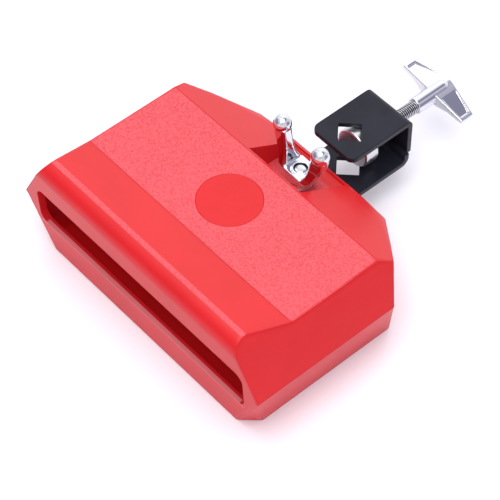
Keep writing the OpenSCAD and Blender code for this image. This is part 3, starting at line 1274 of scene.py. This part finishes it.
def floor_material():
    """White paper that fades to grey far away, a painted falloff of light, with a little extra light
    for the camera only.
    """
    mat, tree, shader = node_material("studio_floor")
    coords = add(tree, "ShaderNodeTexCoord")
    cloud = noise(tree, coords, 6.0, 2.0)
    value = ramp(tree, cloud, "Fac", 0.3, 0.7, 0.985, 1.0)
    # painted shade: the floor darkens away from the block, a painted falloff of light
    far = add(tree, "ShaderNodeVectorMath", operation="DISTANCE")
    wire(tree, coords, "Object", far, 0)
    far.inputs[1].default_value = (-0.1, 0.1, 0.0)
    fade = ramp(tree, far, "Value", 0.45, 0.95, 1.0, 0.55)
    level = math_node(tree, "MULTIPLY", (value, "Result"), (fade, "Result"))
    tone = add(tree, "ShaderNodeHueSaturation", Color=(0.93, 0.92, 0.96, 1))
    wire(tree, level, "Value", tone, "Value")
    wire(tree, tone, "Color", shader, "Base Color")
    shader.inputs["Roughness"].default_value = 0.9
    shader.inputs["Specular IOR Level"].default_value = 0.0
    path = add(tree, "ShaderNodeLightPath")
    glow = math_node(tree, "MULTIPLY", (path, "Is Camera Ray"), 0.14)
    shader.inputs["Emission Color"].default_value = (0.92, 0.92, 1.0, 1)
    wire(tree, glow, "Value", shader, "Emission Strength")
    return mat


floor_half = 3.0
floor_gap = 0.00005
bm = bmesh.new()
corners = ((-1, -1), (1, -1), (1, 1), (-1, 1))
bm.faces.new([bm.verts.new((x * floor_half, y * floor_half, 0)) for x, y in corners])
floor = new_object("floor", bm)
floor.data.materials.append(floor_material())
floor.location.z = bounds_start[0][2] - floor_gap

middle = Vector(((top_lo.x + top_hi.x) / 2, 0, 0)) * MM


def softbox(name, direction, distance, width, height, power):
    """A rectangular lamp in metres and watts, aimed at the middle of the block."""
    light = bpy.data.lights.new(name, "AREA")
    light.shape = "RECTANGLE"
    light.size = width
    light.size_y = height
    light.energy = power
    obj = bpy.data.objects.new(name, light)
    obj.location = middle + Vector(direction).normalized() * distance
    obj.rotation_euler = Vector(direction).to_track_quat("Z", "Y").to_euler()
    bpy.context.scene.collection.objects.link(obj)
    return obj


softbox("key", (0.14, -0.18, 0.97), 1.2, 0.9, 0.9, 8.5)

world = bpy.data.worlds.new("studio")
bpy.context.scene.world = world
world.use_nodes = True
tree = world.node_tree
back = tree.nodes["Background"]
coords = add(tree, "ShaderNodeTexCoord")


def lobe(direction, full, none, gain):
    """A soft round patch of the studio's surroundings, angles in degrees from its middle."""
    dot = add(tree, "ShaderNodeVectorMath", operation="DOT_PRODUCT")
    wire(tree, coords, "Generated", dot, 0)
    dot.inputs[1].default_value = Vector(direction).normalized()
    near, far = math.cos(math.radians(full)), math.cos(math.radians(none))
    return ramp(tree, dot, "Value", far, near, 0.0, gain)


surround = 0.78
# direction, angle of full strength, angle where it ends, light added
patches = (
    ((-0.60, 0.39, 0.70), 25, 42, 0.30),
    ((-0.40, 0.88, 0.25), 20, 45, 0.35),
    ((0.17, 0.42, 0.89), 10, 24, -0.42),
    ((0.47, -0.41, 0.78), 8, 20, -0.30),
    ((0.85, 0.50, 0.15), 15, 32, -0.40),
    ((-0.75, -0.60, 0.25), 15, 35, -0.40),
    ((-0.30, -0.85, 0.35), 10, 25, -0.25),
)
total = surround
for patch in patches:
    total = (math_node(tree, "ADD", total, (lobe(*patch), "Result")), "Value")
mottle = add(tree, "ShaderNodeTexNoise", Scale=3.5, Detail=1.0)
wire(tree, coords, "Generated", mottle, "Vector")
uneven = ramp(tree, mottle, "Fac", 0.35, 0.65, 0.86, 1.14)
level = math_node(tree, "MULTIPLY", total, (uneven, "Result"))
bright = ramp(tree, level, "Value", 0.35, 0.8, 0.0, 1.0)
tint = mixed(tree, bright, "Result", (0.90, 0.88, 1.18), (1.0, 1.0, 1.01))
scaled = add(tree, "ShaderNodeVectorMath", operation="SCALE")
tree.links.new(tint.outputs[2], scaled.inputs[0])
wire(tree, level, "Value", scaled, "Scale")
wire(tree, scaled, "Vector", back, "Color")
back.inputs["Strength"].default_value = 1.0

scene = bpy.context.scene
scene.view_settings.view_transform = "Standard"
scene.view_settings.look = "None"

azimuth, elevation = math.radians(48.68), math.radians(51.37)
camera_distance = 1.209
away = Vector(
    (
        math.sin(azimuth) * math.cos(elevation),
        -math.cos(azimuth) * math.cos(elevation),
        math.sin(elevation),
    )
)
target = Vector((0.0167, -0.0028, 0.0355))
camera = bpy.data.objects.new("camera", bpy.data.cameras.new("camera"))
camera.data.lens = 162.6
camera.data.sensor_width = 36.0
camera.data.clip_end = 20.0
camera.location = target + away * camera_distance
camera.rotation_euler = away.to_track_quat("Z", "Y").to_euler()
scene.collection.objects.link(camera)
scene.camera = camera
